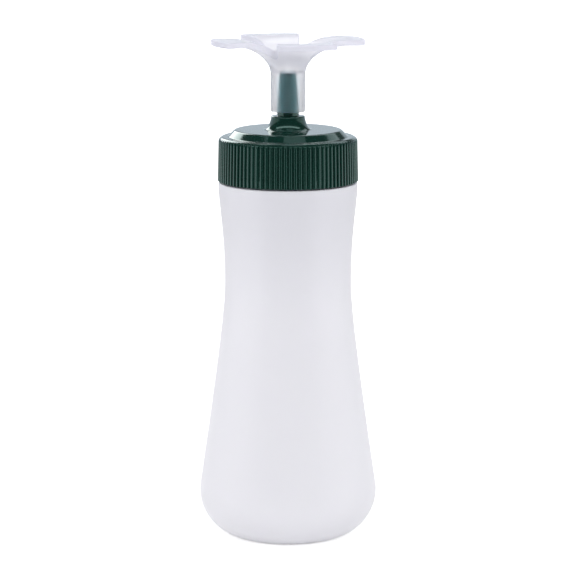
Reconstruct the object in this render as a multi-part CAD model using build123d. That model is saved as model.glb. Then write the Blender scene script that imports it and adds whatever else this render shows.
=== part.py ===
"""Squeeze bottle for sauce, with a screw cap, a pouring nozzle and a nozzle cover.

Millimetres, +Z up. The origin is the centre of the base, on the surface that the bottle stands on.
Four pieces: a blown bottle, a sealing washer, a ribbed screw cap with its nozzle moulded on, and
a clear cover that shuts the nozzle and opens into four petals, on which the bottle can stand
upside down.
"""
from build123d import *
import os
from math import asin, atan, cos, degrees, radians, sin, sqrt, tan

# ---- bottle, outside ----
heel_round = 3.4  # small radius where the side meets the standing ring
foot_width = 4.5  # flat standing ring, measured across
push_up = 3.0  # height of the hollow under the base
push_up_ease = 0.5  # share of the hollow's radius that is nearly level
belly_radius = 35.95  # widest radius
belly_height = 16.5  # height of the widest circle
belly_arc = 17.8  # radius of the rounding that runs under the belly
flank_lean = 0.149  # inward lean of the flank, in mm per mm of height
flank_straight = 0.82  # share of the flank's height that keeps that lean before it eases off
waist_radius = 25.43
waist_height = 104.0
waist_ease_below = 6.2  # how far the waist stays upright below and above its circle
waist_ease_above = 20.0
shoulder_height = 143.4  # top of the shoulder, under the cap
shoulder_step = 3.2  # how far the shoulder stands out past the neck
shoulder_band = 2.0  # upright band at the top of the side
shoulder_ease = 7.0
shoulder_round = 0.6
wall = 1.2  # wall of the blown body

# ---- bottle neck and thread ----
neck_radius = 24.6
neck_wall = 1.6
neck_height = 15.6  # shoulder to rim
neck_root = 0.8  # fillet at the foot of the neck
rim_round = 0.4
thread_pitch = 4.2
thread_depth = 1.2
thread_root_width = 2.2
thread_crest_width = 1.0
thread_turns = 1.25
thread_start = 5.2  # first turn's middle above the shoulder
thread_clearance = 0.3  # radial, crest to root
thread_bite = 0.4  # how deep a thread's root is set in its wall

# ---- screw cap ----
skirt_gap = 0.5  # shoulder to the skirt's lower edge
ledge_wall = 1.7  # plastic between the washer and the flat ledge above it
skirt_wall = 1.4  # from the thread's root to the bottom of the grip grooves
rib_count = 90
rib_height = 0.65
rib_share = 0.62  # share of the pitch that a rib takes
rib_run_out = 0.1  # how far the ledge's rounding starts outside the rib crests, so they end in it
ledge_round = 2.3
ledge_width = 4.25  # rib crest to the foot of the sloping step on top
step_run = 2.6  # foot of the step to the edge of its flat top
step_height = 2.25
top_wall = 1.8

# ---- boss and nozzle ----
boss_radius = 6.8
boss_height = 5.5
boss_band = 1.9  # upright part below its top
boss_flare = 8.5  # radius where the flare meets the disc
flare_ease = 0.9  # how far the flare stays upright below the band
flare_foot = 0.5  # rise of the flare close to the disc
boss_round = 0.5
nozzle_neck_radius = 4.35
nozzle_neck_height = 2.1
nozzle_base_radius = 4.5
nozzle_tip_radius = 3.33
nozzle_length = 15.2  # cone alone
orifice_radius = 2.0
orifice_land = 4.2  # straight length of the orifice at the tip
nozzle_bore_radius = 3.1  # at the foot of the cone
boss_bore_radius = 4.8  # at the underside of the cap

# ---- sealing washer ----
washer_thickness = 1.3
washer_inset = 0.5  # gap to the cap's bore
washer_overlap = 0.6  # reach inwards past the rim's bore
seat_gap = 0.05  # either side of the washer, and under the cover

# ---- nozzle cover ----
tube_radius = 6.85
tube_bore_radius = 5.4
tube_start = 1.7  # lower edge above the boss
tube_edge = 0.3  # rounding of its lower edge
bore_round = 0.8
web_gap = 1.2  # nozzle tip to the underside of the web
web_thickness = 3.7
plug_clearance = 0.06
plug_length = 3.0
plug_shoulder_radius = 2.9
plug_chamfer = 0.5
cup_depth = 8.15  # petal tops down to the cup's floor
cup_mouth = 25.5  # radius where the cup runs out flat into the petals
cup_reach = 21.0
cup_rise = 18.0
bell_reach = 18.0  # outer flare, run and rise
bell_rise = 11.9
petal_thickness = 2.3
petal_count = 4
petal_turn = 16.0  # direction of the first petal, degrees from +X
star_radius = 30.5
petal_half_width = 12.6  # at the tip
petal_taper = 16.0  # degrees that each side leans in towards the tube
petal_corner = 2.0
notch_root = 1.5

# ---- heights that follow ----
rim_height = shoulder_height + neck_height
skirt_bottom = shoulder_height + skirt_gap
washer_bottom = rim_height + seat_gap
ceiling_height = washer_bottom + washer_thickness + seat_gap
ledge_height = ceiling_height + ledge_wall
disc_height = ledge_height + step_height
boss_top = disc_height + boss_height
cone_start = boss_top + nozzle_neck_height
tip_height = cone_start + nozzle_length
tube_bottom = boss_top + tube_start
web_bottom = tip_height + web_gap
cup_floor = web_bottom + web_thickness
petal_top = cup_floor + cup_depth

# ---- radii that follow ----
shoulder_radius = neck_radius + shoulder_step
neck_bore = neck_radius - neck_wall
cap_bore = neck_radius + thread_depth + thread_clearance
groove_radius = cap_bore + skirt_wall
rib_radius = groove_radius + rib_height
step_radius = rib_radius - ledge_width
disc_radius = step_radius - step_run
disc_cavity = neck_bore - washer_overlap - skirt_wall


def turned(outline):
    """Solid of revolution about Z from a closed outline given as (radius, height)."""
    return revolve(Plane.XZ * make_face(outline), axis=Axis.Z)


def arc(centre, radius, start, end):
    """Arc about a centre, from one angle to another in degrees."""
    return CenterArc(centre, radius, start, end - start)


def smooth_arc(centre, radius, start, end):
    """The same arc as a Bezier curve, for a rounding whose centre lies within its own radius."""
    first, last = radians(start), radians(end)
    handle = radius * 4 / 3 * tan((last - first) / 4)
    begin = Vector(centre) + Vector(cos(first), sin(first)) * radius
    finish = Vector(centre) + Vector(cos(last), sin(last)) * radius
    lead_out = begin + Vector(-sin(first), cos(first)) * handle
    lead_in = finish - Vector(-sin(last), cos(last)) * handle
    return Bezier(begin, lead_out, lead_in, finish)


def bottle_side(inset):
    """Side from heel to shoulder, moved inwards by inset: two arcs and two eased curves."""
    lean = degrees(atan(flank_lean))
    arc_centre = belly_radius - belly_arc
    heel_centre_rise = belly_height - heel_round
    heel_centre = arc_centre + sqrt((belly_arc - heel_round) ** 2 - heel_centre_rise**2)
    joint = -degrees(asin(heel_centre_rise / (belly_arc - heel_round)))
    heel = arc((heel_centre, heel_round), heel_round - inset, -90, joint)
    belly = smooth_arc((arc_centre, belly_height), belly_arc - inset, joint, lean)
    foot = belly @ 1
    waist = (waist_radius - inset, waist_height)
    band = (shoulder_radius - inset, shoulder_height - shoulder_band)
    reach = (waist_height - foot.Y) * flank_straight
    flank = Bezier(
        foot,
        (foot.X - flank_lean * reach, foot.Y + reach),
        (waist[0], waist[1] - waist_ease_below),
        waist,
    )
    upper = Bezier(
        waist,
        (waist[0], waist[1] + waist_ease_above),
        (band[0], band[1] - shoulder_ease),
        band,
    )
    return [heel, belly, flank, upper]


def helix_thread(root_radius, outward, first_turn):
    """Trapezoid thread along a right-hand helix, its root set a little into the wall."""
    way = 1 if outward else -1
    root = root_radius - way * thread_bite
    crest = root_radius + way * thread_depth
    low, high = thread_root_width / 2, thread_crest_width / 2
    path = Helix(thread_pitch, thread_pitch * thread_turns, root_radius, center=(0, 0, first_turn))
    section = Polyline((root, -low), (crest, -high), (crest, high), (root, low), close=True)
    profile = Plane(origin=(0, 0, first_turn), x_dir=(1, 0, 0), z_dir=(0, -1, 0)) * make_face(section)
    return sweep(profile, path=path, is_frenet=True)


def hollow_base(foot_inner, lift):
    """Dome under the base, level at its middle, from the axis to the standing ring."""
    ease = foot_inner * push_up_ease
    top = push_up + lift
    return Bezier((0, top), (ease, top), (foot_inner - ease / 2, lift), (foot_inner, lift))


def bottle():
    """Blown body with a pushed-up base, and a neck with an outside thread."""
    side = bottle_side(0)
    lining = bottle_side(wall)
    heel, lining_heel = side[0] @ 0, lining[0] @ 0
    foot_inner = heel.X - foot_width
    shoulder_top = shoulder_height - wall
    outside = [
        hollow_base(foot_inner, 0),
        Line((foot_inner, 0), heel),
        *side,
        Line(side[-1] @ 1, (shoulder_radius, shoulder_height - shoulder_round)),
        arc((shoulder_radius - shoulder_round, shoulder_height - shoulder_round), shoulder_round, 0, 90),
        Line((shoulder_radius - shoulder_round, shoulder_height), (neck_radius + neck_root, shoulder_height)),
        arc((neck_radius + neck_root, shoulder_height + neck_root), neck_root, -90, -180),
        Line((neck_radius, shoulder_height + neck_root), (neck_radius, rim_height - rim_round)),
        arc((neck_radius - rim_round, rim_height - rim_round), rim_round, 0, 90),
    ]
    inside = [
        Line((neck_radius - rim_round, rim_height), (neck_bore, rim_height)),
        Line((neck_bore, rim_height), (neck_bore, shoulder_top)),
        Line((neck_bore, shoulder_top), (shoulder_radius - wall, shoulder_top)),
        Line((shoulder_radius - wall, shoulder_top), lining[-1] @ 1),
        *lining,
        Line(lining_heel, (foot_inner, wall)),
        hollow_base(foot_inner, wall),
        Line((0, push_up + wall), (0, push_up)),
    ]
    shell = turned(outside + inside)
    return shell + helix_thread(neck_radius, True, shoulder_height + thread_start)


def ribbed_disc(height):
    """Upright prism with rounded grip ribs round its edge."""
    pitch = 360 / rib_count
    half_rib = pitch * rib_share / 2
    edge = []
    for index in range(rib_count):
        middle = index * pitch
        start, end, after = middle - half_rib, middle + half_rib, middle + pitch - half_rib
        foot = Vector(groove_radius, 0).rotate(Axis.Z, start)
        crest = Vector(rib_radius, 0).rotate(Axis.Z, middle)
        far_foot = Vector(groove_radius, 0).rotate(Axis.Z, end)
        next_foot = Vector(groove_radius, 0).rotate(Axis.Z, after)
        edge += [ThreePointArc(foot, crest, far_foot), Line(far_foot, next_foot)]
    return extrude(make_face(edge), height)


def screw_cap():
    """Ribbed skirt with an inside thread, a stepped top, and the boss and nozzle moulded on."""
    skirt_side = rib_radius + rib_run_out
    ledge_edge = skirt_side - ledge_round
    flare_top = boss_top - boss_band
    outside = [
        Line((0, skirt_bottom), (skirt_side, skirt_bottom)),
        Line((skirt_side, skirt_bottom), (skirt_side, ledge_height - ledge_round)),
        arc((ledge_edge, ledge_height - ledge_round), ledge_round, 0, 90),
        Line((ledge_edge, ledge_height), (step_radius, ledge_height)),
        Line((step_radius, ledge_height), (disc_radius, disc_height)),
        Line((disc_radius, disc_height), (boss_flare, disc_height)),
        Bezier(
            (boss_flare, disc_height),
            (boss_radius + flare_ease, disc_height + flare_foot),
            (boss_radius, flare_top - flare_ease),
            (boss_radius, flare_top),
        ),
        Line((boss_radius, flare_top), (boss_radius, boss_top - boss_round)),
        arc((boss_radius - boss_round, boss_top - boss_round), boss_round, 0, 90),
        Line((boss_radius - boss_round, boss_top), (nozzle_neck_radius, boss_top)),
        Line((nozzle_neck_radius, boss_top), (nozzle_neck_radius, cone_start)),
        Line((nozzle_neck_radius, cone_start), (nozzle_base_radius, cone_start)),
        Line((nozzle_base_radius, cone_start), (nozzle_tip_radius, tip_height)),
        Line((nozzle_tip_radius, tip_height), (0, tip_height)),
        Line((0, tip_height), (0, skirt_bottom)),
    ]
    cavity_top = disc_height - top_wall
    inside = [
        Line((0, skirt_bottom - 1), (cap_bore, skirt_bottom - 1)),
        Line((cap_bore, skirt_bottom - 1), (cap_bore, ceiling_height)),
        Line((cap_bore, ceiling_height), (disc_cavity, ceiling_height)),
        Line((disc_cavity, ceiling_height), (disc_cavity, cavity_top)),
        Line((disc_cavity, cavity_top), (boss_bore_radius, cavity_top)),
        Line((boss_bore_radius, cavity_top), (nozzle_bore_radius, cone_start)),
        Line((nozzle_bore_radius, cone_start), (orifice_radius, tip_height - orifice_land)),
        Line((orifice_radius, tip_height - orifice_land), (orifice_radius, tip_height + 1)),
        Line((orifice_radius, tip_height + 1), (0, tip_height + 1)),
        Line((0, tip_height + 1), (0, skirt_bottom - 1)),
    ]
    ribbed = Pos(0, 0, skirt_bottom) * ribbed_disc(tip_height - skirt_bottom)
    shell = (turned(outside) & ribbed) - turned(inside)
    thread = helix_thread(cap_bore, False, shoulder_height + thread_start - thread_pitch / 2)
    return shell + thread


def sealing_washer():
    """Flat ring between the rim and the cap's ceiling."""
    outer = cap_bore - washer_inset
    inner = neck_bore - washer_overlap
    ring = Circle(outer) - Circle(inner)
    return Pos(0, 0, washer_bottom) * extrude(ring, washer_thickness)


def petal_star(height):
    """Prism of the petals' outline: strips that narrow inwards, with rounded notches between."""
    lean = tan(radians(petal_taper))
    tip = star_radius * cos(asin(petal_half_width / star_radius))
    root = petal_half_width - tip * lean
    strip = make_face(
        [
            Line((0, -root), (tip, -petal_half_width)),
            ThreePointArc((tip, -petal_half_width), (star_radius, 0), (tip, petal_half_width)),
            Line((tip, petal_half_width), (0, root)),
            Line((0, root), (0, -root)),
        ]
    )
    star = strip
    for index in range(1, petal_count):
        star += Rot(0, 0, index * 360 / petal_count) * strip
    prism = extrude(star, height)
    upright = prism.edges().filter_by(Axis.Z)
    corners = [edge for edge in upright if (edge @ 0).X ** 2 + (edge @ 0).Y ** 2 > (0.9 * star_radius) ** 2]
    prism = fillet(corners, petal_corner)
    upright = prism.edges().filter_by(Axis.Z)
    roots = [edge for edge in upright if (edge @ 0).X ** 2 + (edge @ 0).Y ** 2 < (0.5 * star_radius) ** 2]
    prism = fillet(roots, notch_root)
    return Rot(0, 0, petal_turn) * prism


def nozzle_cover():
    """Tube with a plug for the orifice, closed by a web and flaring out into the petals."""
    petal_under = petal_top - petal_thickness
    flare_rim = tube_radius + bell_reach
    beyond = star_radius + 1
    cup_foot = petal_top - cup_rise
    drop = asin((cup_floor - cup_foot) / cup_rise)
    floor_radius = cup_mouth - cup_reach * cos(drop)
    plug_radius = orifice_radius - plug_clearance
    shoulder_face = tip_height + seat_gap
    plug_end = shoulder_face - plug_length
    outline = [
        Line((tube_bore_radius, tube_bottom), (tube_radius - tube_edge, tube_bottom)),
        arc((tube_radius - tube_edge, tube_bottom + tube_edge), tube_edge, -90, 0),
        Line((tube_radius, tube_bottom + tube_edge), (tube_radius, petal_under - bell_rise)),
        EllipticalCenterArc((flare_rim, petal_under - bell_rise), bell_reach, bell_rise, 90, arc_size=90),
        Line((flare_rim, petal_under), (beyond, petal_under)),
        Line((beyond, petal_under), (beyond, petal_top)),
        Line((beyond, petal_top), (cup_mouth, petal_top)),
        EllipticalCenterArc((cup_mouth, cup_foot), cup_reach, cup_rise, 90, arc_size=90 - degrees(drop)),
        Line((floor_radius, cup_floor), (0, cup_floor)),
        Line((0, cup_floor), (0, plug_end)),
        Line((0, plug_end), (plug_radius - plug_chamfer, plug_end)),
        Line((plug_radius - plug_chamfer, plug_end), (plug_radius, plug_end + plug_chamfer)),
        Line((plug_radius, plug_end + plug_chamfer), (plug_radius, shoulder_face)),
        Line((plug_radius, shoulder_face), (plug_shoulder_radius, shoulder_face)),
        Line((plug_shoulder_radius, shoulder_face), (plug_shoulder_radius, web_bottom)),
        Line((plug_shoulder_radius, web_bottom), (tube_bore_radius - bore_round, web_bottom)),
        arc((tube_bore_radius - bore_round, web_bottom - bore_round), bore_round, 90, 0),
        Line((tube_bore_radius, web_bottom - bore_round), (tube_bore_radius, tube_bottom)),
    ]
    star = Pos(0, 0, tube_bottom - 1) * petal_star(petal_top - tube_bottom + 2)
    return turned(outline) & star


os.makedirs("parts", exist_ok=True)
export_step(bottle(), "parts/bottle.step")
export_step(sealing_washer(), "parts/sealing_washer.step")
export_step(screw_cap(), "parts/screw_cap.step")
export_step(nozzle_cover(), "parts/nozzle_cover.step")
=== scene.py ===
"""Squeeze bottle for sauce: a milky blown body, a sealing washer, a dark green ribbed cap with its
nozzle moulded on, and a clear nozzle cover that opens into four petals.

The pieces follow in the order in which the bottle is put together, then come the table, the lamps
and the camera. Sizes are in millimetres and become metres when a mesh is made.
"""

import bpy
import numpy as np
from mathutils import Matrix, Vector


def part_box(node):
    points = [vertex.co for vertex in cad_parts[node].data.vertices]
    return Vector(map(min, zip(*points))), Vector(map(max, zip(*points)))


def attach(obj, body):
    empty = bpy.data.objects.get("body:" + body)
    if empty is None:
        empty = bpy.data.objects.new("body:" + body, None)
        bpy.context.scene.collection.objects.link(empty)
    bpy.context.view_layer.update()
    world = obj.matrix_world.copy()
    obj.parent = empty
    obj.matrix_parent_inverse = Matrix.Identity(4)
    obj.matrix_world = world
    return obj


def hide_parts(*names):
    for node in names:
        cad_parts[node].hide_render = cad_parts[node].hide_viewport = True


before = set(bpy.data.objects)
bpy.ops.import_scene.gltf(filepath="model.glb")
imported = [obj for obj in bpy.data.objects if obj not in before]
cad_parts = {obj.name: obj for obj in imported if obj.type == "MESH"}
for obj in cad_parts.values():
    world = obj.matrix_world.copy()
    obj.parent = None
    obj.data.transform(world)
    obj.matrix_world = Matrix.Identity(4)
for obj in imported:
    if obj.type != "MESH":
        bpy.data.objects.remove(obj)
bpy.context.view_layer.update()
mm = 0.001

# ---- bottle ----
# Blown from milky polyethylene in a two-part mould, so two faint seams run up its sides and a
# pinched scar crosses the hollow under its base. The neck is thicker and carries the thread.
belly_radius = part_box("bottle")[1].x / mm
rim_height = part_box("bottle")[1].z / mm
neck_height = 15.6
shoulder_height = rim_height - neck_height
neck_radius = 24.6
neck_wall = 1.6
shoulder_step = 3.2  # how far the shoulder stands out past the neck
shoulder_radius = neck_radius + shoulder_step
wall = 1.2
foot_width = 4.5  # of the ring that it stands on
push_up = 3.0  # how far the base's middle is pushed up
thread_pitch = 4.2
thread_depth = 1.2
thread_root_width = 2.2
thread_crest_width = 1.0
thread_turns = 1.25
thread_start = 5.2  # first turn's middle above the shoulder
thread_fade = 0.1  # share of a turn over which a thread runs out at each end
seam_height = 0.07
seam_width = 0.25
scar_height = 0.35
scar_width = 0.7
scar_reach = 13.0  # half its length
same_point = 1e-6


def line(start, end, count=2):
    """Points evenly along a straight run, as rows of radius and height."""
    return np.linspace(start, end, count)


def arc(centre, radius, start, end, count):
    """Points along a circle's arc between two angles in degrees: centre plus radius times direction."""
    angle = np.radians(np.linspace(start, end, count))
    return np.array(centre) + radius * np.column_stack([np.cos(angle), np.sin(angle)])


def bezier(a, b, c, d, count):
    """Points of a cubic curve: its four corners weighted by powers of the way along and the way left."""
    t = np.linspace(0, 1, count)[:, None]
    a, b, c, d = np.array([a, b, c, d], float)
    return a * (1 - t) ** 3 + 3 * b * t * (1 - t) ** 2 + 3 * c * t**2 * (1 - t) + d * t**3


def run_on(*runs):
    """One profile from several runs, with the points dropped that repeat the one before."""
    points = np.vstack(runs)
    apart = np.linalg.norm(np.diff(points, axis=0), axis=1) > same_point
    return points[np.concatenate([[True], apart])]


def side_profile(inset, count):
    """Side from heel to shoulder, moved inwards by inset: two arcs and two eased curves."""
    belly_height, belly_arc, heel_round, lean = 16.5, 17.8, 3.4, 0.149
    waist_height, waist_radius, flank_reach = 104.0, 25.43, 0.82
    centre = belly_radius - belly_arc
    rise = belly_height - heel_round
    heel_centre = centre + np.sqrt((belly_arc - heel_round) ** 2 - rise**2)
    joint = -np.degrees(np.arcsin(rise / (belly_arc - heel_round)))
    heel = arc((heel_centre, heel_round), heel_round - inset, -90, joint, count // 8)
    belly = arc((centre, belly_height), belly_arc - inset, joint, np.degrees(np.arctan(lean)), count // 3)
    foot = belly[-1]
    reach = (waist_height - foot[1]) * flank_reach
    waist = np.array([waist_radius - inset, waist_height])
    band = np.array([shoulder_radius - inset, shoulder_height - 2.0])
    flank = bezier(foot, foot + reach * np.array([-lean, 1]), waist - [0, 6.2], waist, count // 3)
    upper = bezier(waist, waist + [0, 20.0], band - [0, 7.0], band, count // 4)
    return run_on(heel, belly, flank, upper)


def grid_faces(rows, columns, first_pole, last_pole, loop=True):
    """Quads between neighbouring rows and columns, columns closed on themselves. A pole is one point
    that closes an end with a fan; without poles the last row joins the first, if loop is true."""
    ring = np.arange(columns)
    after = (ring + 1) % columns
    row = np.arange(rows - 1)[:, None] * columns
    corners = [row + ring, row + after, row + columns + after, row + columns + ring]
    quads = np.stack(corners, axis=-1).reshape(-1, 4)
    last = (rows - 1) * columns
    faces = [quads]
    if loop and not first_pole and not last_pole:
        faces.append(np.column_stack([last + ring, last + after, after, ring]))
    if first_pole:
        faces.append(np.column_stack([after, ring, np.full(columns, rows * columns)]))
    if last_pole:
        pole = rows * columns + int(first_pole)
        faces.append(np.column_stack([last + ring, last + after, np.full(columns, pole)]))
    return faces


def make_piece(name, points, faces, material, sharp_angle=60):
    """Mesh object at the origin from points in millimetres and arrays of faces, one array for each
    count of corners."""
    corners = np.concatenate([face.shape[1] * np.ones(len(face), int) for face in faces])
    vertex_index = np.concatenate([face.ravel() for face in faces])
    loop_start = np.concatenate([[0], np.cumsum(corners)[:-1]])
    mesh = bpy.data.meshes.new(name)
    mesh.vertices.add(len(points))
    mesh.vertices.foreach_set("co", (np.asarray(points) * mm).astype(np.float32).ravel())
    mesh.loops.add(int(corners.sum()))
    mesh.loops.foreach_set("vertex_index", vertex_index.astype(np.int32))
    mesh.polygons.add(len(corners))
    mesh.polygons.foreach_set("loop_start", loop_start.astype(np.int32))
    mesh.update(calc_edges=True)
    mesh.validate()
    mesh.shade_smooth()
    mesh.set_sharp_from_angle(angle=np.radians(sharp_angle))
    mesh.materials.append(material)
    piece = bpy.data.objects.new(name, mesh)
    bpy.context.scene.collection.objects.link(piece)
    return piece


def turned(profile, angles):
    """Points of a profile carried round the axis: radius times the cosine and sine of each angle, and
    height. Radius and height may already differ from angle to angle."""
    radius, height = np.broadcast_arrays(profile[0], profile[1], np.zeros(len(angles)))[:2]
    return np.stack([radius * np.cos(angles), radius * np.sin(angles), height], axis=-1).reshape(-1, 3)


def thread_lift(angles, heights, first_turn):
    """How far a thread stands out of its wall: a trapezoid of the distance to the helix, fading at
    both ends."""
    turns = angles[None, None, :] / (2 * np.pi) + np.arange(2)[:, None, None]
    off_middle = np.abs(heights - first_turn - thread_pitch * turns)
    flank_width = (thread_root_width - thread_crest_width) / 2
    across = np.clip((thread_root_width / 2 - off_middle) / flank_width, 0, 1)
    fade = np.clip(np.minimum(turns, thread_turns - turns) / thread_fade, 0, 1)
    return thread_depth * (across * fade * fade * (3 - 2 * fade)).max(axis=0)


def column_angles(count, seam_share):
    """Angles round the axis, closer together at the two seams: an even step less a sine of twice the
    angle."""
    even = np.arange(count) * 2 * np.pi / count
    return even - seam_share * np.sin(2 * even) / 2


def bottle_points(angles):
    """Outside from the base's middle to the rim, then inside back down, with seams, scar and thread."""
    side, lining = side_profile(0, 96), side_profile(wall, 72)
    heel_x = side[0, 0]
    foot_inner = heel_x - foot_width
    far_ease = foot_inner / 2
    near_ease = foot_inner - far_ease / 2
    corner, root, rim, innermost = 0.6, 0.8, 0.5, 0.6
    hollow = bezier((innermost, push_up), (far_ease, push_up), (near_ease, 0), (foot_inner, 0), 26)
    hollow_inside = bezier(
        (foot_inner, wall), (near_ease, wall), (far_ease, push_up + wall), (innermost, push_up + wall), 20
    )
    outside = run_on(
        hollow,
        line((foot_inner, 0), (heel_x, 0), 4),
        side,
        line(side[-1], (shoulder_radius, shoulder_height - corner), 4),
        arc((shoulder_radius - corner, shoulder_height - corner), corner, 0, 90, 6),
        line((shoulder_radius - corner, shoulder_height), (neck_radius + root, shoulder_height), 3),
        arc((neck_radius + root, shoulder_height + root), root, -90, -180, 6),
        line((neck_radius, shoulder_height + root), (neck_radius, rim_height - rim), 66),
        arc((neck_radius - rim, rim_height - rim), rim, 0, 90, 6),
    )
    neck_bore = neck_radius - neck_wall
    inside_corner = np.array([neck_bore, shoulder_height - wall])
    bend_start, bend_end = inside_corner + [0, 1.5], inside_corner + [2.2, -0.4]
    inside = run_on(
        arc((neck_bore + rim, rim_height - rim), rim, 90, 180, 6),
        line((neck_bore, rim_height - rim), bend_start, 8),
        bezier(bend_start, inside_corner, inside_corner, bend_end, 8),
        bezier(bend_end, inside_corner + [3.4, -0.7], lining[-1] + [0, 0.6], lining[-1], 8),
        lining[::-1],
        line(lining[0], (foot_inner, wall), 3),
        hollow_inside,
    )
    radius, height = outside[:, :1], outside[:, 1:]
    seam = seam_height * np.exp(-((radius * np.sin(angles) / seam_width) ** 2))
    on_side = np.clip((height - 1.5) / 3, 0, 1) * np.clip((shoulder_height - height) / 1.5, 0, 1)
    on_neck = (height > shoulder_height + root) & (np.abs(radius - neck_radius) < 1e-3)
    thread = np.where(on_neck, thread_lift(angles, height, shoulder_height + thread_start), 0)
    along, across = radius * np.cos(angles), radius * np.sin(angles)
    scar_end = np.clip((scar_reach - np.abs(along)) / 2, 0, 1)
    scar = scar_height * np.exp(-((across / scar_width) ** 2)) * scar_end
    under_base = (height < push_up + 0.01) & (radius < foot_inner - 1)
    outer = turned((radius + seam * on_side + thread, height - scar * under_base), angles)
    inner = turned((inside[:, :1], inside[:, 1:]), angles)
    poles = [[0, 0, push_up - scar_height], [0, 0, push_up + wall]]
    return np.vstack([outer, inner, poles]), len(outside) + len(inside)


def new_material(name):
    """Empty node material and its output."""
    material = bpy.data.materials.new(name)
    material.use_nodes = True
    material.node_tree.nodes.clear()
    return material, material.node_tree.nodes.new("ShaderNodeOutputMaterial")


def add_node(material, kind, inputs, **settings):
    """Shader node of a kind. An input is a plain value, or the output socket that feeds it."""
    node = material.node_tree.nodes.new("ShaderNode" + kind)
    for key, value in settings.items():
        setattr(node, key, value)
    for key, value in inputs.items():
        if isinstance(value, bpy.types.NodeSocket):
            material.node_tree.links.new(value, node.inputs[key])
        else:
            node.inputs[key].default_value = value
    return node


def noise(material, scale, detail=3.0, stretch=(1, 1, 1)):
    """Noise over the piece's own place, scale in features per metre, stretched along its axes."""
    place = add_node(material, "TexCoord", {}).outputs["Object"]
    stretched = add_node(material, "Mapping", {"Vector": place, "Scale": stretch}).outputs["Vector"]
    inputs = {"Vector": stretched, "Scale": scale, "Detail": detail}
    return add_node(material, "TexNoise", inputs).outputs["Fac"]


def blend_colours(material, factor, first, second):
    """Colour between two, by a factor."""
    mix = add_node(material, "MixRGB", {"Fac": factor, "Color1": (*first, 1), "Color2": (*second, 1)})
    return mix.outputs["Color"]


def spread(material, factor, low, high):
    """Noise, which keeps near its middle, spread to run from low to high."""
    inputs = {"Value": factor, "From Min": 0.2, "From Max": 0.8, "To Min": low, "To Max": high}
    return add_node(material, "MapRange", inputs).outputs["Result"]


def bump(material, height, distance):
    """Surface relief from a height, as deep as distance in metres."""
    return add_node(material, "Bump", {"Height": height, "Distance": distance}).outputs["Normal"]


def above(material, low, high):
    """0 below one height in metres and 1 above another, eased between them."""
    place = add_node(material, "TexCoord", {}).outputs["Object"]
    height = add_node(material, "SeparateXYZ", {0: place}).outputs["Z"]
    inputs = {"Value": height, "From Min": low, "From Max": high}
    return add_node(material, "MapRange", inputs, interpolation_type="SMOOTHSTEP").outputs["Result"]


def milky_plastic():
    """Natural polyethylene: cloudy white with a trace of lilac, softly glossy, with fine moulding grain.
    From the waist up towards the neck it is painted a little darker: painted shade."""
    material, output = new_material("milky_polyethylene")
    clouds = noise(material, 22, 1.0, (1, 1, 0.45))
    grain = noise(material, 700, 3.0)
    rubbed = noise(material, 90, 2.0)
    cloud = spread(material, clouds, 0, 1)
    cloudy = blend_colours(material, cloud, (0.9, 0.892, 0.93), (0.915, 0.907, 0.943))
    # painted shade: the colour is mixed darker from the waist height up to the neck height
    waist, neck = 0.085, 0.14
    cloudy_with_painted_shade = add_node(material, "MixRGB", {
        "Fac": above(material, waist, neck),
        "Color1": cloudy,
        "Color2": (0.82, 0.815, 0.855, 1),
    }).outputs["Color"]
    shader = add_node(material, "BsdfPrincipled", {
        "Base Color": cloudy_with_painted_shade,
        "Roughness": spread(material, rubbed, 0.29, 0.31),
        "IOR": 1.5,
        "Subsurface Weight": 0.2,
        "Subsurface Radius": (1.0, 0.95, 1.05),
        "Subsurface Scale": 0.0015,
        "Normal": bump(material, grain, 0.000006),
    })
    glow = add_node(material, "BsdfTranslucent", {"Color": cloudy_with_painted_shade})
    both = add_node(material, "MixShader", {0: 0.12, 1: shader.outputs[0], 2: glow.outputs[0]})
    material.node_tree.links.new(both.outputs[0], output.inputs["Surface"])
    return material


bottle_columns = column_angles(count=176, seam_share=0.6)
bottle_vertices, bottle_rows = bottle_points(bottle_columns)
bottle = make_piece(
    "milky_bottle",
    bottle_vertices,
    grid_faces(bottle_rows, len(bottle_columns), True, True),
    milky_plastic(),
)
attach(bottle, "bottle")
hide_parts("bottle")

# ---- sealing washer ----
# Soft silicone ring, cut flat, that lies loose in the top of the cap and is squeezed on to the rim.
washer_low, washer_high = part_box("sealing_washer")
washer_overlap = 0.6  # how far it reaches inwards past the neck's rim
washer_edge = 0.25
washer_inner = neck_radius - neck_wall - washer_overlap


def washer_profile(outer, inner, bottom, top, edge):
    """Closed outline of a flat ring with rounded edges, wound so that its faces point outwards."""
    return run_on(
        arc((outer - edge, bottom + edge), edge, -90, 0, 5),
        arc((outer - edge, top - edge), edge, 0, 90, 5),
        line((outer - edge, top), (inner + edge, top), 5),
        arc((inner + edge, top - edge), edge, 90, 180, 5),
        arc((inner + edge, bottom + edge), edge, 180, 270, 5),
        line((inner + edge, bottom), (outer - edge, bottom), 5)[:-1],
    )


def silicone():
    """Pale matt silicone with a fine dusty grain."""
    material, output = new_material("washer_silicone")
    grain = noise(material, 1400, 3.0)
    patches = noise(material, 90, 2.0)
    patch = spread(material, patches, 0, 1)
    shader = add_node(material, "BsdfPrincipled", {
        "Base Color": blend_colours(material, patch, (0.66, 0.66, 0.64), (0.76, 0.76, 0.74)),
        "Roughness": spread(material, grain, 0.5, 0.7),
        "IOR": 1.41,
        "Subsurface Weight": 0.4,
        "Subsurface Radius": (1.0, 1.0, 1.0),
        "Subsurface Scale": 0.0015,
        "Normal": bump(material, grain, 0.00003),
    })
    material.node_tree.links.new(shader.outputs["BSDF"], output.inputs["Surface"])
    return material


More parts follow.
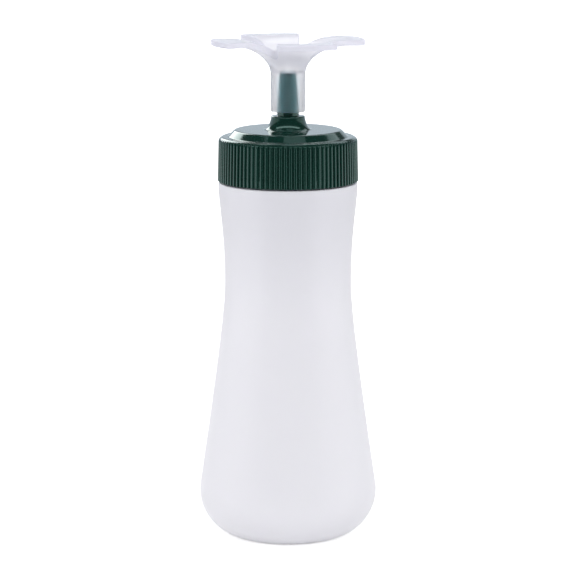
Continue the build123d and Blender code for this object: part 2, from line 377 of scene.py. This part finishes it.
washer_outline = washer_profile(
    washer_high.x / mm, washer_inner, washer_low.z / mm, washer_high.z / mm, washer_edge
)
washer_angles = column_angles(count=180, seam_share=0)
washer = make_piece(
    "silicone_washer",
    turned((washer_outline[:, :1], washer_outline[:, 1:]), washer_angles),
    grid_faces(len(washer_outline), len(washer_angles), False, False),
    silicone(),
)
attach(washer, "seal")
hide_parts("sealing_washer")

# ---- screw cap ----
# Injection moulded in glossy dark green polypropylene: a skirt of rounded grip ribs with a slight
# draft, a stepped top, and the boss and pouring nozzle in one with it. The thread runs inside.
cap_low, cap_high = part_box("screw_cap")
skirt_bottom = cap_low.z / mm
rib_radius = cap_high.x / mm
tip_height = cap_high.z / mm
rib_count = 90
rib_height = 0.65
rib_share = 0.7  # share of the pitch that a rib takes
rib_run_out = 0.1  # how far the rounded outline starts outside the rib crests
skirt_wall = 1.4
skirt_draft = 0.42  # how much narrower the skirt is at its top
skirt_height = 17.75  # lower edge to the ledge
ledge_height = skirt_bottom + skirt_height
ledge_round = 2.3
ledge_lap = 0.3  # flat run of the ledge that belongs to the skirt's mesh
ledge_width = 4.25
step_run = 2.6
step_height = 2.7
step_radius = rib_radius - ledge_width
disc_radius = step_radius - step_run
disc_height = ledge_height + step_height
boss_radius = 6.8
boss_height = 5.5
boss_top = disc_height + boss_height
orifice_radius = 2.0
thread_clearance = 0.3
cap_bore = neck_radius + thread_depth + thread_clearance
seat_gap = 0.05  # between parts that press on each other
ceiling_height = washer_high.z / mm + seat_gap


def fillet(before, corner, after, radius, count=6):
    """Points that round a corner between two straight runs with a curve that starts and ends on them."""
    before, corner, after = np.array([before, corner, after], float)
    back = before - corner
    on = after - corner
    start = corner + back / np.linalg.norm(back) * radius
    end = corner + on / np.linalg.norm(on) * radius
    hold = 0.45
    return bezier(start, corner + (start - corner) * hold, corner + (end - corner) * hold, end, count)


def rib_columns():
    """Angles of the skirt's columns and how far each is up its rib: a superellipse, so that a rib has a
    nearly flat top and rounded sides, and one more column in the middle of each groove."""
    fullness = 2.3
    across = np.array([-1, -0.94, -0.78, -0.45, 0, 0.45, 0.78, 0.94, 1])
    place = np.append(across * rib_share / 2, 0.5)
    lift = np.append((1 - np.abs(across) ** fullness) ** (1 / fullness), 0)
    pitch = 2 * np.pi / rib_count
    angles = (np.arange(rib_count)[:, None] + place).ravel() * pitch
    return angles, np.tile(lift, rib_count)


def softer_least(a, b, ease):
    """The smaller of two values, with the corner between them eased: half of the sum less the rooted
    difference."""
    return (a + b - np.sqrt((a - b) ** 2 + ease**2)) / 2


def skirt_points(angles, rib_lift):
    """Outside of the skirt from its foot to the ledge: the smaller of the ribbed wall and the rounded
    outline, so each rib ends in a scallop."""
    side = rib_radius + rib_run_out
    foot_round, scallop_ease = 0.3, 0.08
    outline = run_on(
        arc((side - foot_round, skirt_bottom + foot_round), foot_round, -90, 0, 5),
        line((side, skirt_bottom + foot_round), (side, ledge_height - ledge_round), 6),
        arc((side - ledge_round, ledge_height - ledge_round), ledge_round, 0, 90, 30),
        line((side - ledge_round, ledge_height), (side - ledge_round - ledge_lap, ledge_height), 2),
    )
    outer, height = outline[:, :1], outline[:, 1:]
    draft = skirt_draft * (height - skirt_bottom) / (ledge_height - skirt_bottom)
    ribbed_wall = rib_radius - rib_height - draft + rib_height * rib_lift
    at_foot = height < skirt_bottom + foot_round
    scalloped = softer_least(ribbed_wall, outer - draft, scallop_ease)
    radius = np.where(at_foot, ribbed_wall - (side - outer), scalloped)
    return turned((radius, height), angles), len(outline)


def core_points(angles):
    """The rest of the cap, from the ledge over the step, the boss and the nozzle and down inside it all.
    The boss widens to its foot in a hollow flare."""
    ledge_edge = rib_radius + rib_run_out - ledge_round - skirt_draft - ledge_lap
    foot = (step_radius, ledge_height)
    knee = (disc_radius, disc_height)
    flare_foot = (9.3, disc_height)
    flare_top = (boss_radius, boss_top - 1.0)
    nozzle_neck, neck_top = 4.35, boss_top + 2.1
    neck_foot = (nozzle_neck, boss_top)
    cone_foot, cone_tip = (4.5, neck_top), (3.33, tip_height)
    mouth = (orifice_radius, tip_height)
    throat = (orifice_radius, tip_height - 4.2)
    top = run_on(
        line((ledge_edge - 0.2, ledge_height), (step_radius + 0.5, ledge_height), 2),
        fillet((ledge_edge, ledge_height), foot, knee, 0.45),
        fillet(foot, knee, flare_foot, 0.7, 8),
        line((disc_radius - 1.5, disc_height), (flare_foot[0] + 0.8, disc_height), 6),
        bezier(
            flare_foot,
            (boss_radius + 1.25, disc_height + 0.35),
            (boss_radius + 0.5, disc_height + 2.4),
            flare_top,
            12,
        ),
        fillet(flare_top, (boss_radius, boss_top), neck_foot, 0.6, 8),
        fillet((boss_radius, boss_top), neck_foot, (nozzle_neck, neck_top), 0.25, 4),
        line((nozzle_neck, boss_top + 0.3), (nozzle_neck, neck_top), 3),
        line((cone_foot[0], neck_top + 0.05), (cone_tip[0] + 0.02, tip_height - 0.25), 4),
        fillet(cone_foot, cone_tip, mouth, 0.18, 5),
        fillet(cone_tip, mouth, throat, 0.35, 6),
        line((orifice_radius, tip_height - 0.5), throat, 2),
    )
    cavity_radius = washer_inner - skirt_wall
    top_wall, boss_bore, lip = 1.8, 4.8, 0.3
    cavity_top = disc_height - top_wall
    cavity_corner = (cavity_radius, cavity_top)
    cavity_foot = (cavity_radius, ceiling_height)
    bore_corner = (cap_bore, ceiling_height)
    below = run_on(
        line((3.1, neck_top), (boss_bore, cavity_top), 3),
        fillet((boss_bore, cavity_top), cavity_corner, cavity_foot, 0.8, 5),
        fillet(cavity_corner, cavity_foot, bore_corner, 0.3, 4),
        fillet(cavity_foot, bore_corner, (cap_bore, skirt_bottom), 0.3, 4),
        line((cap_bore, ceiling_height - 0.8), (cap_bore, skirt_bottom + 0.6), 60),
        arc((cap_bore + lip, skirt_bottom + lip), lip, 180, 270, 4),
    )
    inside_radius, inside_height = below[:, :1], below[:, 1:]
    on_bore = (np.abs(inside_radius - cap_bore) < same_point) & (inside_height < ceiling_height - 0.5)
    first_turn = shoulder_height + thread_start - thread_pitch / 2
    thread = np.where(on_bore, thread_lift(angles % (2 * np.pi), inside_height, first_turn), 0)
    return np.vstack([
        turned((top[:, :1], top[:, 1:]), angles),
        turned((inside_radius - thread, inside_height), angles),
    ]), len(top) + len(below)


def joining_faces(fine_start, fine_count, coarse_start, coarse_count, fine_first):
    """Flat faces between a ring of many points and a ring of few, each with one step of the coarse ring
    and the matching steps of the fine one. fine_first: the fine ring comes earlier in the outline."""
    share = fine_count // coarse_count
    step = np.arange(coarse_count)[:, None]
    fine = fine_start + (step * share + np.arange(share + 1)) % fine_count
    coarse = coarse_start + (step + [0, 1]) % coarse_count
    faces = np.hstack([fine, coarse[:, ::-1]])
    return faces if fine_first else faces[:, ::-1]


def green_plastic():
    """Dark green polypropylene, glossy, with faint flow marks and the fine scratches of handling."""
    material, output = new_material("green_polypropylene")
    flow = noise(material, 45, 3.0, (1, 1, 0.5))
    scratches = noise(material, 500, 4.0, (1, 4, 1))
    grain = noise(material, 1500, 2.0)
    streak = spread(material, flow, 0, 1)
    shader = add_node(material, "BsdfPrincipled", {
        "Base Color": blend_colours(material, streak, (0.0006, 0.018, 0.012), (0.001, 0.022, 0.015)),
        "Roughness": spread(material, scratches, 0.08, 0.14),
        "IOR": 1.55,
        "Specular Tint": (0.62, 1.0, 0.93, 1),
        "Normal": bump(material, grain, 0.000004),
    })
    material.node_tree.links.new(shader.outputs["BSDF"], output.inputs["Surface"])
    return material


rib_angles, rib_lift = rib_columns()
rib_columns_each = len(rib_angles) // rib_count
core_angles = rib_angles[:: rib_columns_each // 2]
skirt_vertices, skirt_rows = skirt_points(rib_angles, rib_lift)
core_vertices, core_rows = core_points(core_angles)
core_start = len(skirt_vertices)
core_last = core_start + (core_rows - 1) * len(core_angles)
skirt_last = (skirt_rows - 1) * len(rib_angles)
cap = make_piece(
    "ribbed_cap",
    np.vstack([skirt_vertices, core_vertices]),
    grid_faces(skirt_rows, len(rib_angles), False, False, False)
    + [core_start + face for face in grid_faces(core_rows, len(core_angles), False, False, False)]
    + [
        joining_faces(skirt_last, len(rib_angles), core_start, len(core_angles), True),
        joining_faces(0, len(rib_angles), core_last, len(core_angles), False),
    ],
    green_plastic(),
    40,
)
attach(cap, "cap")
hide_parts("screw_cap")

# ---- nozzle cover ----
# Injection moulded in clear polypropylene: a tube that drops over the nozzle, a web with a plug for
# the orifice, and a bell that opens into four flat petals, on which the bottle can stand upside down.
cover_low, cover_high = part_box("nozzle_cover")
petal_top = cover_high.z / mm
tube_bottom = cover_low.z / mm
tube_radius = 6.85
tube_bore_radius = 5.4
web_gap = 1.2  # nozzle's tip to the underside of the web
web_thickness = 3.7
web_bottom = tip_height + web_gap
cup_floor = web_bottom + web_thickness
cup_mouth, cup_reach, cup_rise = 24.0, 18.5, 11.2
bell_reach, bell_rise = 18.0, 11.9
bell_rim = tube_radius + bell_reach
petal_thickness = 2.3
petal_edge = 0.5  # rounding of the petals' edges
star_radius = 30.5
petal_turn = 16.0


def star_outline():
    """Outline of the four petals as complex numbers, with its outward normals. Half a petal is an arc at
    the tip, a rounded corner, a side that leans in and a rounded notch, then mirrored and turned."""
    half_width, taper, corner, notch = 12.6, np.radians(16.0), 2.0, 1.5
    tip = np.sqrt(star_radius**2 - half_width**2)
    root = half_width - tip * np.tan(taper)
    along, inward = np.exp(1j * taper), -1j * np.exp(1j * taper)
    depth = corner - root * np.cos(taper)
    corner_centre = depth * inward + np.sqrt((star_radius - corner) ** 2 - depth**2) * along
    notch_reach = (root * np.cos(taper) + notch) / (np.cos(taper) - np.sin(taper)) * np.sqrt(2)
    notch_centre = notch_reach * np.exp(0.25j * np.pi)
    corner_start, corner_end = np.angle(corner_centre), taper + np.pi / 2
    notch_start, notch_end = taper - np.pi / 2, -0.75 * np.pi
    side = np.linspace(0, 1, 24)[1:-1]
    side_start = corner_centre + corner * np.exp(1j * corner_end)
    side_end = notch_centre + notch * np.exp(1j * notch_start)
    half = np.concatenate([
        star_radius * np.exp(1j * np.linspace(0, corner_start, 16)[:-1]),
        corner_centre + corner * np.exp(1j * np.linspace(corner_start, corner_end, 9)),
        side_start + (side_end - side_start) * side,
        notch_centre + notch * np.exp(1j * np.linspace(notch_start, notch_end, 7)),
    ])
    petal = np.concatenate([half[:0:-1].conj(), half[:-1]])
    outline = (1j ** np.arange(4)[:, None] * petal).ravel() * np.exp(1j * np.radians(petal_turn))
    run = np.roll(outline, -1) - np.roll(outline, 1)
    return outline, -1j * run / np.abs(run)


def flare(way, rim, reach, foot, rise):
    """Radius and height on a quarter ellipse that runs on flat: way is its angle, and past a right angle
    it is the flat's length as a share of the reach."""
    turn = np.minimum(way, np.pi / 2)
    flat = np.maximum(way - np.pi / 2, 0) * reach
    return rim - reach * np.cos(turn) + flat, foot + rise * np.sin(turn)


def flare_way(radius, rim, reach):
    """The way along that flare at which a radius is reached."""
    turn = np.arccos(np.clip((rim - radius) / reach, 0, 1))
    return turn + np.maximum(radius - rim, 0) / reach


def cover_points(outline, outward):
    """Rows from the middle of the cup outwards over a petal, round its edge, back under the bell, down
    the tube, up its bore, over the web and down the plug. Each column keeps its direction from the axis.
    With them comes a value for each point, 1 on the petals' cut edges and 0 elsewhere."""
    inset = outline - outward * petal_edge
    reach, direction = np.abs(inset), inset / np.abs(inset)
    cup_foot = petal_top - cup_rise
    floor_way = np.arcsin((cup_floor - cup_foot) / cup_rise)
    floor_edge = cup_mouth - cup_reach * np.cos(floor_way)
    share = np.linspace(0, 1, 30)[:, None]
    way = floor_way + (flare_way(reach, cup_mouth, cup_reach) - floor_way) * share
    cup_r, cup_z = flare(way, cup_mouth, cup_reach, cup_foot, cup_rise)
    floor_lift, lift_way, innermost = 0.12, 0.12, 0.12
    cup_z = cup_z + np.exp(-((way - floor_way) / lift_way)) * floor_lift
    floor_r = np.linspace(innermost, 1, 9)[:-1, None] * floor_edge * np.ones(len(outline))
    floor_z = cup_floor + floor_lift * (floor_r / floor_edge) ** 6

    round_turn = np.radians(np.linspace(90, -90, 14))[1:-1, None]
    edge = outline - outward * petal_edge * (1 - np.cos(round_turn))
    bell_foot = petal_top - petal_thickness - bell_rise
    under_way = flare_way(reach, bell_rim, bell_reach)
    under_z = flare(under_way, bell_rim, bell_reach, bell_foot, bell_rise)[1]
    edge_top = cup_z[-1] - petal_edge * (1 - np.sin(round_turn))
    edge_under = under_z + petal_edge * (1 + np.sin(round_turn))
    edge_z = np.where(round_turn > 0, edge_top, edge_under)

    bell_r, bell_z = flare(under_way * share[::-1], bell_rim, bell_reach, bell_foot, bell_rise)
    collar_face = tip_height + seat_gap
    collar_radius, plug_radius = 2.9, orifice_radius - 0.06
    plug_end = collar_face - 3
    lip, bore_round = 0.3, 0.8
    bore_foot, bore_top = (tube_bore_radius, tube_bottom), (tube_bore_radius, web_bottom)
    tube = run_on(
        line((tube_radius, bell_foot - 1), (tube_radius, tube_bottom + lip), 8),
        arc((tube_radius - lip, tube_bottom + lip), lip, 0, -90, 5),
        fillet((tube_radius, tube_bottom), bore_foot, bore_top, 0.2, 4),
        line((tube_bore_radius, tube_bottom + 0.4), (tube_bore_radius, web_bottom - bore_round), 8),
        arc((tube_bore_radius - bore_round, web_bottom - bore_round), bore_round, 0, 90, 7),
        fillet((4.0, web_bottom), (collar_radius, web_bottom), (collar_radius, collar_face), 0.3, 5),
        line((collar_radius, web_bottom - 0.5), (collar_radius, collar_face), 3),
        line((plug_radius + 0.1, collar_face), (plug_radius, collar_face - 0.1), 2),
        fillet((plug_radius, collar_face), (plug_radius, plug_end), (0, plug_end), 0.5, 6),
        line((1.0, plug_end), (0.3, plug_end), 3),
    )
    tube_r = tube[:, :1] * np.ones(len(outline))
    tube_z = tube[:, 1:] * np.ones(len(outline))
    places = np.vstack([
        floor_r * direction, cup_r * direction, edge, bell_r * direction, tube_r * direction])
    heights = np.vstack([floor_z, cup_z, edge_z, bell_z, tube_z])
    grid = np.stack([places.real, places.imag, heights], axis=-1).reshape(-1, 3)
    poles = [[0, 0, cup_floor], [0, 0, plug_end]]
    cut = np.zeros(len(places))
    first_cut = len(floor_r) + len(cup_r)
    cut[first_cut:first_cut + len(edge)] = 1
    return np.vstack([grid, poles]), len(places), np.append(np.repeat(cut, len(outline)), [0, 0])


def scaled_and_added(material, value, scale, more):
    """A value times a scale, plus more."""
    return add_node(material, "Math", {0: value, 1: scale, 2: more}, operation="MULTIPLY_ADD").outputs[0]


def clear_plastic():
    """Clear polypropylene with a satin skin: see-through face on and milky where it is seen along its
    length, more so in the thick web and most on the petals' cut edges, where the extra haze is painted
    light that lifts rims which render too dark. The haze of the straight tube is set blue-green face on,
    to suit the dark nozzle inside it, and the rest is lilac, mixed lighter towards the petals: painted
    light."""
    material, output = new_material("clear_polypropylene")
    flow = noise(material, 60, 2.0, (1, 1, 2))
    glass = add_node(material, "BsdfPrincipled", {
        "Base Color": (0.985, 0.98, 0.985, 1),
        "Roughness": spread(material, flow, 0.28, 0.31),
        "IOR": 1.3,
        "Transmission Weight": 1.0,
        "Coat Weight": 0.5,
        "Coat Roughness": 0.05,
        "Coat IOR": 1.5,
    })
    slant = add_node(material, "LayerWeight", {"Blend": 0.5}).outputs["Facing"]
    face_on = add_node(material, "MapRange", {
        "Value": slant, "From Min": 0.1, "From Max": 0.3, "To Min": 1.0, "To Max": 0.0,
    }).outputs["Result"]
    tube_top, web_top, cup_side, near_rim = 0.184, 0.189, 0.19, 0.1965
    in_bell = above(material, tube_top, cup_side)
    cool = add_node(material, "Math", {
        0: face_on, 1: in_bell}, operation="SUBTRACT", use_clamp=True).outputs[0]
    # painted light: the lilac haze is mixed lighter towards the petals
    painted_light_near_petals = above(material, cup_side, near_rim)
    lilac_with_painted_light = blend_colours(material, painted_light_near_petals, (0.58, 0.59, 0.65), (0.8, 0.8, 0.86))
    haze_colour = add_node(material, "MixRGB", {
        "Fac": cool, "Color1": lilac_with_painted_light, "Color2": (0.15, 0.62, 0.78, 1)}).outputs["Color"]
    front = add_node(material, "BsdfDiffuse", {"Color": haze_colour})
    through = add_node(material, "BsdfTranslucent", {"Color": haze_colour})
    haze = add_node(material, "MixShader", {0: 0.5, 1: front.outputs[0], 2: through.outputs[0]})
    rise = add_node(material, "Math", {0: slant, 1: 0.8}, operation="POWER").outputs[0]
    in_wall = scaled_and_added(material, rise, 0.45, 0.07)
    with_web = scaled_and_added(material, above(material, 0.1865, web_top), 0.15, in_wall)
    cut = add_node(material, "Attribute", {}, attribute_name="cut_edge").outputs["Fac"]
    # painted light in part: the extra haze on the petals' cut edges lifts rims that render too dark
    haze_with_painted_rim_lift = scaled_and_added(material, cut, 0.5, with_web)
    both = add_node(material, "MixShader", {0: haze_with_painted_rim_lift, 1: glass.outputs[0], 2: haze.outputs[0]})
    material.node_tree.links.new(both.outputs[0], output.inputs["Surface"])
    return material


petal_outline, petal_outward = star_outline()
cover_vertices, cover_rows, cover_cut = cover_points(petal_outline, petal_outward)
cover_faces = grid_faces(cover_rows, len(petal_outline), True, True)
cover = make_piece(
    "clear_cover",
    cover_vertices,
    [face[:, ::-1] for face in cover_faces],
    clear_plastic(),
    50,
)
cut_edge = cover.data.attributes.new("cut_edge", "FLOAT", "POINT")
cut_edge.data.foreach_set("value", cover_cut.astype(np.float32))
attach(cover, "cover")
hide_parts("nozzle_cover")

# ---- table, lamps and camera ----
# A pale table that runs on all round, soft lamps at both sides, behind and above in front, and a window
# lamp behind on the left that only gloss shows. Cloths that only gloss shows stand round the bottle:
# dark ones keep the cap deep in tone, and pale ones draw its highlights.
white = (1.0, 1.0, 1.0, 1.0)


def seen_directly(material_or_world):
    """1 for a ray from the camera, a mirror or clear plastic, and 0 for one that carries soft light."""
    path = add_node(material_or_world, "LightPath", {})
    mirrored = add_node(material_or_world, "Math", {
        0: path.outputs["Is Camera Ray"], 1: path.outputs["Is Glossy Ray"]}, operation="MAXIMUM")
    return add_node(material_or_world, "Math", {
        0: mirrored.outputs[0], 1: path.outputs["Is Transmission Ray"]}, operation="MAXIMUM").outputs[0]


def table_paint():
    """Matt white with a faint glow of its own, as a light table has; far off only the white is left. In
    the gloss of the plastics it glows less, close to the bottle."""
    material, output = new_material("table_white")
    place = add_node(material, "TexCoord", {}).outputs["Object"]
    distance = add_node(material, "VectorMath", {0: place}, operation="LENGTH").outputs["Value"]
    bright = add_node(material, "MapRange", {
        "Value": distance, "From Min": 0.1, "From Max": 0.5, "To Min": 0.55, "To Max": 1.0,
    }, interpolation_type="SMOOTHSTEP").outputs["Result"]
    dim = add_node(material, "MapRange", {
        "Value": distance, "From Min": 0.6, "From Max": 0.85, "To Min": 0.32, "To Max": 1.0,
    }, interpolation_type="SMOOTHSTEP").outputs["Result"]
    path = add_node(material, "LightPath", {})
    in_gloss = add_node(material, "Math", {
        0: path.outputs["Is Glossy Ray"], 1: path.outputs["Is Transmission Ray"],
    }, operation="SUBTRACT", use_clamp=True).outputs[0]
    near = add_node(material, "MapRange", {
        "Value": distance, "From Min": 0.05, "From Max": 0.25, "To Min": 0.07, "To Max": 0.0,
    }, interpolation_type="SMOOTHSTEP").outputs["Result"]
    strength = add_node(material, "Mix", {0: in_gloss, 2: bright, 3: dim}).outputs[0]
    seen = add_node(material, "Mix", {0: seen_directly(material), 2: near, 3: strength}).outputs[0]
    paint = add_node(material, "BsdfDiffuse", {"Color": (0.9, 0.9, 0.9, 1)})
    glow = add_node(material, "Emission", {"Color": white, "Strength": seen})
    both = add_node(material, "AddShader", {0: paint.outputs[0], 1: glow.outputs[0]})
    material.node_tree.links.new(both.outputs[0], output.inputs["Surface"])
    return material


def stage_sheet(name, points, faces, paint):
    """Part of the studio, which isn't part of the bottle, from points in metres."""
    mesh = bpy.data.meshes.new(name)
    mesh.from_pydata(points, [], faces)
    mesh.materials.append(paint)
    sheet = bpy.data.objects.new(name, mesh)
    bpy.context.scene.collection.objects.link(sheet)
    return sheet


half, under = 4.0, -0.0001
stage_sheet(
    "table_top",
    [(-half, -half, under), (half, -half, under), (half, half, under), (-half, half, under)],
    [(0, 1, 2, 3)],
    table_paint(),
)

world = bpy.data.worlds.new("white_room")
world.use_nodes = True
world.node_tree.nodes.clear()
room = add_node(world, "Background", {"Color": (0.96, 0.965, 1.0, 1), "Strength": 0.72})
direction = add_node(world, "TexCoord", {}).outputs["Generated"]
backwards = add_node(world, "SeparateXYZ", {0: direction}).outputs["Y"]
in_front = add_node(world, "MapRange", {
    "Value": backwards, "From Min": -0.3, "From Max": -0.6,
}, interpolation_type="SMOOTHSTEP").outputs["Result"]
gloss_depth = add_node(world, "LightPath", {}).outputs["Glossy Depth"]
turned_back = add_node(world, "Math", {0: gloss_depth, 1: 0.5}, operation="GREATER_THAN").outputs[0]
dark_share = add_node(world, "Math", {0: in_front, 1: turned_back}, operation="MULTIPLY").outputs[0]
shade = blend_colours(world, dark_share, (1.0, 1.0, 1.0), (0.15, 0.15, 0.16))
backdrop = add_node(world, "Background", {"Color": shade, "Strength": 1.0})
world_mix = add_node(world, "MixShader", {
    0: seen_directly(world), 1: room.outputs[0], 2: backdrop.outputs[0]})
add_node(world, "OutputWorld", {"Surface": world_mix.outputs[0]})
bpy.context.scene.world = world


def aim(placed, target):
    """Turns a lamp or the camera at its place so that it looks at a target."""
    direction = Vector(target) - placed.location
    placed.rotation_euler = direction.to_track_quat("-Z", "Y").to_euler()


def soft_lamp(name, place, size, power, gloss=True, lights=True, through=True):
    """Rectangular soft lamp aimed at the bottle, its width and height in metres and its power in watts.
    gloss says that it shows in glossy surfaces, lights that it lights the matt ones, through that it is
    seen through clear ones."""
    data = bpy.data.lights.new(name, "AREA")
    data.shape = "RECTANGLE"
    data.size, data.size_y = size
    data.energy = power
    lamp = bpy.data.objects.new(name, data)
    lamp.location = place
    lamp.visible_camera = False
    lamp.visible_glossy = gloss
    lamp.visible_diffuse = lights
    lamp.visible_transmission = through
    bpy.context.scene.collection.objects.link(lamp)
    aim(lamp, (0, 0, 0.12))


soft_lamp("window_lamp", (-0.42, 0.77, 0.58), (0.46, 0.5), 3.9, lights=False, through=False)
soft_lamp("back_soft_lamp", (0.0, 0.7, 0.85), (0.3, 0.3), 0.8)
soft_lamp("left_soft_lamp", (-0.9, 0.0, 0.5), (0.6, 0.8), 1.3, gloss=False)
soft_lamp("right_soft_lamp", (0.9, 0.0, 0.5), (0.6, 0.8), 1.0, gloss=False)
soft_lamp("front_soft_lamp", (0.0, -1.0, 1.05), (1.0, 0.5), 5.0, gloss=False)


def cloth_paint(name, colour, strength):
    """Even glow of one colour."""
    material, output = new_material(name)
    shader = add_node(material, "Emission", {"Color": colour, "Strength": strength})
    material.node_tree.links.new(shader.outputs[0], output.inputs["Surface"])
    return material


def gloss_screen(name, profile, first, last, paint):
    """Sheet of cloth carried round the bottle between two angles in degrees, its profile in metres. Only
    the plastics' gloss shows it."""
    profile, columns = np.array(profile), 60
    angles = np.radians(np.linspace(first, last, columns))
    points = turned((profile[:, :1], profile[:, 1:]), angles)
    all_round = grid_faces(len(profile), columns, False, False, False)[0]
    faces = all_round.reshape(-1, columns, 4)[:, :-1].reshape(-1, 4)
    screen = stage_sheet(name, points.tolist(), faces.tolist(), paint)
    screen.visible_camera = False
    screen.visible_diffuse = False
    screen.visible_transmission = False
    screen.visible_shadow = False


dark_paint = cloth_paint("screen_grey", (0.92, 0.95, 1.0, 1), 0.15)
band_paint = cloth_paint("band_white", white, 3.6)
plain_paint = cloth_paint("floor_cloth", white, 0.95)
cool_paint = cloth_paint("back_cloth", (0.8, 0.9, 1.0, 1), 1.0)
side_paint = cloth_paint("side_cloth", (0.9, 0.95, 1.0, 1), 1.6)
screen_radius, screen_top, cloth_height = 1.4, 0.62, 0.001
screen_side = [[screen_radius, 0.0], [screen_radius, screen_top]]
canopy = [[screen_radius, screen_top], [1.2, 1.6], [0.01, 1.9]]
near_floor, far_floor = [0.16, cloth_height], [0.6, cloth_height]
floor_end = [screen_radius, cloth_height]
gloss_screen("right_side_cloth", [[1.1, 0.8], [1.1, 1.38]], 35, 80, side_paint)
gloss_screen("cool_back_cloth", screen_side, 20, 160, cool_paint)
gloss_screen("dark_floor_cloth", [near_floor, floor_end], -134, -46, dark_paint)
gloss_screen("dark_front_screen", screen_side, -142, -38, dark_paint)
gloss_screen("plain_floor_cloth", [far_floor, floor_end], 25, 155, plain_paint)
gloss_screen("dark_canopy", canopy, -180, 180, dark_paint)
gloss_screen("bright_band", [[1.2, 1.07], [1.1, 1.34]], -175, -5, band_paint)

camera_data = bpy.data.cameras.new("camera")
camera_data.lens = 149.83
camera_data.sensor_width = 36.0
camera = bpy.data.objects.new("camera", camera_data)
camera.location = (0.0, -0.95, 0.2795)
bpy.context.scene.collection.objects.link(camera)
aim(camera, (0, 0, 0.1))
bpy.context.scene.camera = camera

bpy.context.scene.view_settings.view_transform = "Standard"
